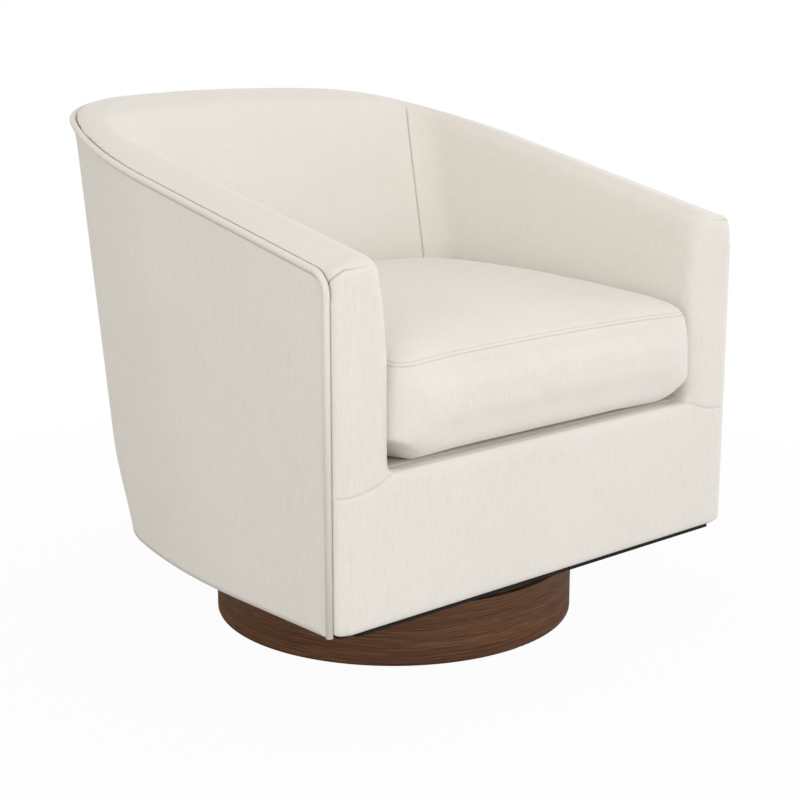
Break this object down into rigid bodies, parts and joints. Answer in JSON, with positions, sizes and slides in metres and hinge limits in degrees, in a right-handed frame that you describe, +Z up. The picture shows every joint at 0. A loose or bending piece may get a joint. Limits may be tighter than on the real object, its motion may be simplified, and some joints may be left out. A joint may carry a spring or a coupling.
{
  "type": "swivel barrel chair",
  "caption": "Upholstered barrel armchair with piped edge and loose crowned seat cushion, turning freely on a round wooden plinth.",
  "frame": {"origin": "on the floor, at the centre of the floor pad, on the swivel axis", "axes": "+Z up along the swivel axis, the chair's front faces -Y, +X is its right side seen from the front"},
  "size_m": [0.7532, 0.7874, 0.7491],
  "materials": {
    "rubber": "matt non-slip ring",
    "walnut": "walnut veneer, satin lacquer",
    "plinth_ply": "bare birch plywood",
    "swivel_steel": "black powder coat",
    "bearing_steel": "ground steel",
    "cage_plastic": "moulded nylon",
    "zinc_steel": "zinc plated",
    "black_board": "black stained board",
    "frame_ply": "bare plywood",
    "frame_timber": "bare timber",
    "spring_steel": "oiled spring wire",
    "clip_steel": "pressed steel",
    "webbing": "woven elastic band",
    "card": "brown board",
    "deck_cloth": "cotton felt under cloth",
    "shell_fabric": "cream linen-look weave",
    "piping_fabric": "cream welt",
    "cushion_fabric": "cream linen-look weave",
    "cushion_foam": "foam with a fibre wrap",
    "zip_nylon": "coil zip on tape"
  },
  "bodies": {
    "plinth": {"floor_pad": "rubber", "plinth_wrap": "walnut", "plinth_bottom_board": "plinth_ply", "plinth_top_board": "plinth_ply", "plinth_blocks": "plinth_ply", "swivel_lower_plate": "swivel_steel", "swivel_pivot": "bearing_steel", "swivel_screws": "zinc_steel"},
    "ball_cage": {"ball_cage": "cage_plastic", "swivel_balls": "bearing_steel"},
    "seat": {"swivel_upper_plate": "swivel_steel", "swivel_bolts": "zinc_steel", "tee_nuts": "zinc_steel", "board_screws": "zinc_steel", "bottom_board": "black_board", "swivel_board": "black_board", "bottom_ring": "frame_ply", "seat_ring": "frame_ply", "back_rail": "frame_ply", "left_arm_rail": "frame_ply", "right_arm_rail": "frame_ply", "left_front_post": "frame_ply", "right_front_post": "frame_ply", "left_arm_rib_front": "frame_ply", "right_arm_rib_front": "frame_ply", "left_arm_rib_rear": "frame_ply", "right_arm_rib_rear": "frame_ply", "left_corner_rib": "frame_ply", "right_corner_rib": "frame_ply", "left_back_rib": "frame_ply", "right_back_rib": "frame_ply", "cross_rails": "frame_timber", "front_rail": "frame_timber", "seat_springs": "spring_steel", "tie_rods": "spring_steel", "spring_clips": "clip_steel", "back_webbing": "webbing", "left_arm_card": "card", "right_arm_card": "card", "deck_pad": "deck_cloth", "left_arm_pad": "shell_fabric", "right_arm_pad": "shell_fabric", "back_pad": "shell_fabric", "front_panel": "shell_fabric", "outside_left_panel": "shell_fabric", "outside_right_panel": "shell_fabric", "outside_back_panel": "shell_fabric", "piping": "piping_fabric"},
    "cushion": {"cushion_cover": "cushion_fabric", "cushion_foam": "cushion_foam", "cushion_zip": "zip_nylon"}
  },
  "joints": [
    {"name": "swivel", "type": "hinge", "parent": "plinth", "child": "seat", "pos_m": [0, 0, 0.0955], "axis": [0, 0, 1], "continuous": true},
    {"name": "cage_roll", "type": "hinge", "parent": "plinth", "child": "ball_cage", "pos_m": [0, 0, 0.0955], "axis": [0, 0, 1], "continuous": true},
    {"name": "cushion_lift", "type": "slide", "parent": "seat", "child": "cushion", "axis": [0, 0, 1], "range_m": [0, 0.3]}
  ],
  "couplings": [
    {"joint": "cage_roll", "follows": "swivel", "ratio": 0.5}
  ]
}
